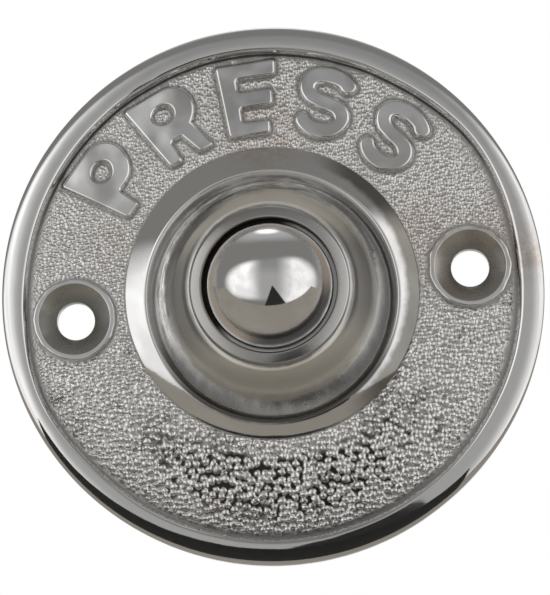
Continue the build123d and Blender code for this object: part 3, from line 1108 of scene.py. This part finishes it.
word = raised_word()
field_quarters = beaded_field(BVHTree.FromBMesh(word))
casting = plate_casting()
boss_left = screw_boss("screw_boss_left", -screw_place)
boss_right = screw_boss("screw_boss_right", screw_place)
lettering = piece(word, "raised_word", [lettering_chrome()], sharp=0)
button = domed_button()
leaf = spring_leaf()

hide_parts("cover_plate")
for plated in (casting, *field_quarters, boss_left, boss_right, lettering):
    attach(plated, "plate")
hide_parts("push_button")
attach(button, "button")
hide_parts("spring_strip")
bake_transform(leaf)

kept_finishes = {
    "insulating_cap": ivory_moulding,
    "spring_contact": contact_silver,
    "fixed_strip": spring_bronze,
    "fixed_contact": contact_silver,
    "contact_base": brown_phenolic,
    "base_screw_lower": zinc_steel,
    "base_screw_upper": zinc_steel,
}
for fitting in ("terminal_bush", "terminal_washer", "terminal_screw"):
    for side in ("_left", "_right"):
        kept_finishes[fitting + side] = terminal_brass
for name, made in kept_finishes.items():
    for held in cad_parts[name].material_slots:
        held.material = made


# Room, floor and camera

room_radius = 0.9
room_back = 0.76
room_base = (0.275, 0.27, 0.26, 1)

# The screen in front: its colours, and its middle, size and soft edges in degrees to the right and up.
screen_low = (0.5, 0.5, 0.495, 1)
screen_high = (0.36, 0.36, 0.365, 1)
screen_left = (1.65, 1.65, 1.64, 1)
screen_right = (1.45, 1.44, 1.43, 1)
screen_middle = 9.0
screen_half_width = 91.0
screen_half_height = 39.0
screen_lean = 0.08
screen_squareness = 2.4
screen_edge = (0.6, 1.25)
high_fade = (5.0, 30.0)
left_fade = (-46.0, -8.0)
right_fade = (13.0, 56.0)

# The lamp above: its direction, and its halo and core by the cosine of the angle from it.
lamp_way = (-0.06, 0.32, 0.945)
lamp_halo = (0.8, 0.985)
lamp_core = (0.97, 0.999)
halo_grey = (0.58, 0.58, 0.59, 1)
core_white = (1.8, 1.8, 1.8, 1)

ledge_shade = (0.34, 0.318, 0.28, 1)
ledge_light = (0.4, 0.372, 0.325, 1)
floor_pale = (0.8, 0.78, 0.74)
floor_height = -0.3
floor_half_width = 4.0
card_dark = (0.03, 0.03, 0.031)

# The object lies turned a little in the room, so the room and its cards are turned the other way.
room_turn = math.radians(7.5)


def glow_finish(name):
    """A material that only gives light, with its node tree."""
    made = bpy.data.materials.new(name)
    made.use_nodes = True
    made.cycles.emission_sampling = "NONE"
    made.node_tree.nodes.remove(made.node_tree.nodes["Principled BSDF"])
    return made, made.node_tree


def shine(colour):
    tree = colour.id_data
    glow = add(tree, "ShaderNodeEmission", {"Color": colour})
    tree.links.new(glow.outputs[0], tree.nodes["Material Output"].inputs["Surface"])


def bowed(value, half):
    """How far out a value lies, as a share of its half width, squared off for rounded corners."""
    return maths("POWER", maths("ABSOLUTE", maths("DIVIDE", value, half)), screen_squareness)


def room_glow():
    """Soft light that stands for the room: a curved white screen in front, a lamp above and behind."""
    made, tree = glow_finish("room_glow")
    way = vectors("NORMALIZE", {0: place(tree)})
    split = add(tree, "ShaderNodeSeparateXYZ", {"Vector": way}).outputs
    rightward = maths("DEGREES", maths("ARCTAN2", split["X"], product(split["Y"], -1.0)))
    upward = maths("DEGREES", maths("ARCSINE", split["Z"]))
    wide = bowed(difference(rightward, screen_middle), screen_half_width)
    tall = bowed(upward, total(product(rightward, screen_lean), screen_half_height))
    mottle = ramp(speckle(tree, 2.4, detail=3.0, rough=0.55, at=way), 0.3, 0.7, 0.6, 1.0)
    sheet = coats(
        screen_low,
        (ramp(upward, *high_fade), screen_high),
        (product(ramp(rightward, *left_fade, 1.0, 0.0), mottle), screen_left),
        (product(ramp(rightward, *right_fade), mottle), screen_right),
    )
    lamp = vectors("DOT_PRODUCT", {0: way, 1: lamp_way}, "Value")
    colour = coats(
        room_base,
        (ramp(total(wide, tall), *screen_edge, 1.0, 0.0), sheet),
        (ramp(lamp, *lamp_halo), halo_grey),
        (ramp(lamp, *lamp_core), core_white),
    )
    shine(colour)
    return made


def ledge_glow():
    """The beige board that the object stands on, glowing with painted light in place of being lit."""
    made, tree = glow_finish("ledge_glow")
    shine(blend(ramp(speckle(tree, 14.0, detail=3.0), 0.3, 0.7), ledge_shade, ledge_light))
    return made


def plain_surface(name, colour, roughness):
    """A matt sheet with a faint unevenness of tone."""
    made, tree = new_finish(name, metallic=0.0)
    shader = tree.nodes["Principled BSDF"]
    shade = ramp(speckle(tree, 20.0, detail=3.0), 0.2, 0.8, 0.97, 1.03)
    tree.links.new(vectors("SCALE", {0: colour, "Scale": shade}), shader.inputs["Base Color"])
    shader.inputs["Roughness"].default_value = roughness
    return made


def black_card():
    """Black card that is clear from behind."""
    made = plain_surface("card_black", card_dark, 0.8)
    tree = made.node_tree
    behind = add(tree, "ShaderNodeNewGeometry").outputs["Backfacing"]
    tree.links.new(difference(1.0, behind), tree.nodes["Principled BSDF"].inputs["Alpha"])
    return made


def stage_piece(bm, name, made):
    obj = new_object(bm, name, [made])
    return obj


def mirrored_only(obj):
    """Leaves a piece of the room to be seen only in the polished metal."""
    obj.visible_camera = False
    obj.visible_shadow = False
    obj.visible_diffuse = False


def reflector(name, made, corners, move):
    """A flat card in front of the object."""
    bm = bmesh.new()
    rounded_wire(bm, corners)
    bmesh.ops.triangle_fill(bm, use_beauty=True, use_dissolve=True, edges=bm.edges)
    bmesh.ops.transform(bm, matrix=Matrix.Rotation(room_turn, 4, "Y") @ move, verts=bm.verts)
    for face in bm.faces:
        face.normal_update()
        if face.normal.y < 0:
            face.normal_flip()
    mirrored_only(stage_piece(bm, name, made))


room = bmesh.new()
bmesh.ops.create_uvsphere(room, u_segments=64, v_segments=32, radius=room_radius)
bmesh.ops.bisect_plane(
    room, geom=room.verts[:] + room.edges[:] + room.faces[:], plane_co=(0, room_back, 0), plane_no=(0, 1, 0),
    clear_outer=True,
)
room_shell = stage_piece(room, "room_shell", room_glow())
room_shell.rotation_euler.y = room_turn
mirrored_only(room_shell)

floor = bmesh.new()
bmesh.ops.create_grid(
    floor, x_segments=1, y_segments=1, size=floor_half_width,
    matrix=Matrix.Translation((0, 0, floor_height)),
)
floor_sheet = stage_piece(floor, "floor", plain_surface("pale_floor", floor_pale, 0.6))
floor_sheet.visible_glossy = False

# A beige ledge below that glows with painted light, a dark curved card close under the rim that is a painted
# shadow of the object on the ledge, and a dark pointed card further off.
ledge_outline = [(-0.8, -0.0575, 0), (0.8, -0.0575, 0), (0.8, 0.3, 0), (-0.8, 0.3, 0)]
ledge_shadow_outline = [*bow((0, 0), 0.04, 0.0308, 212, 312, 30), *bow((0, 0), 0.049, 0.0418, 310, 214, 30)]
far_card_outline = [(0.0077, -0.01, 0.0015), (0.055, -0.07, 0.0), (-0.01, -0.0667, 0)]
lie_flat = Matrix.Translation((0, 0, -0.05)) @ Matrix.Rotation(math.radians(-90), 4, "X")
card_black = black_card()
reflector("ledge", ledge_glow(), ledge_outline, lie_flat)
reflector("ledge_shadow_card", card_black, ledge_shadow_outline, Matrix.Translation((0, -0.012, 0)))
reflector("far_card", card_black, far_card_outline, Matrix.Translation((0, -0.067, 0)))

world = bpy.data.worlds.new("white_ground")
world.use_nodes = True
white_ground = world.node_tree.nodes["Background"].inputs
white_ground["Color"].default_value = (1, 1, 1, 1)
white_ground["Strength"].default_value = 1.0
scene.world = world

camera_right = math.radians(1.6)
camera_up = math.radians(-8.5)
camera_away = 0.4
camera_target = Vector((0.00024, -0.002, -0.00046))
camera_data = bpy.data.cameras.new("camera")
camera_data.lens = 205.2
camera_data.clip_start = 0.01
camera = bpy.data.objects.new("camera", camera_data)
scene.collection.objects.link(camera)
back = Vector((
    math.sin(camera_right) * math.cos(camera_up),
    -math.cos(camera_right) * math.cos(camera_up),
    math.sin(camera_up),
))
camera.location = camera_target + back * camera_away
camera.rotation_mode = "QUATERNION"
camera.rotation_quaternion = back.to_track_quat("Z", "Y") @ Quaternion((0, 0, 1), -room_turn)
scene.camera = camera
scene.view_settings.view_transform = "Standard"
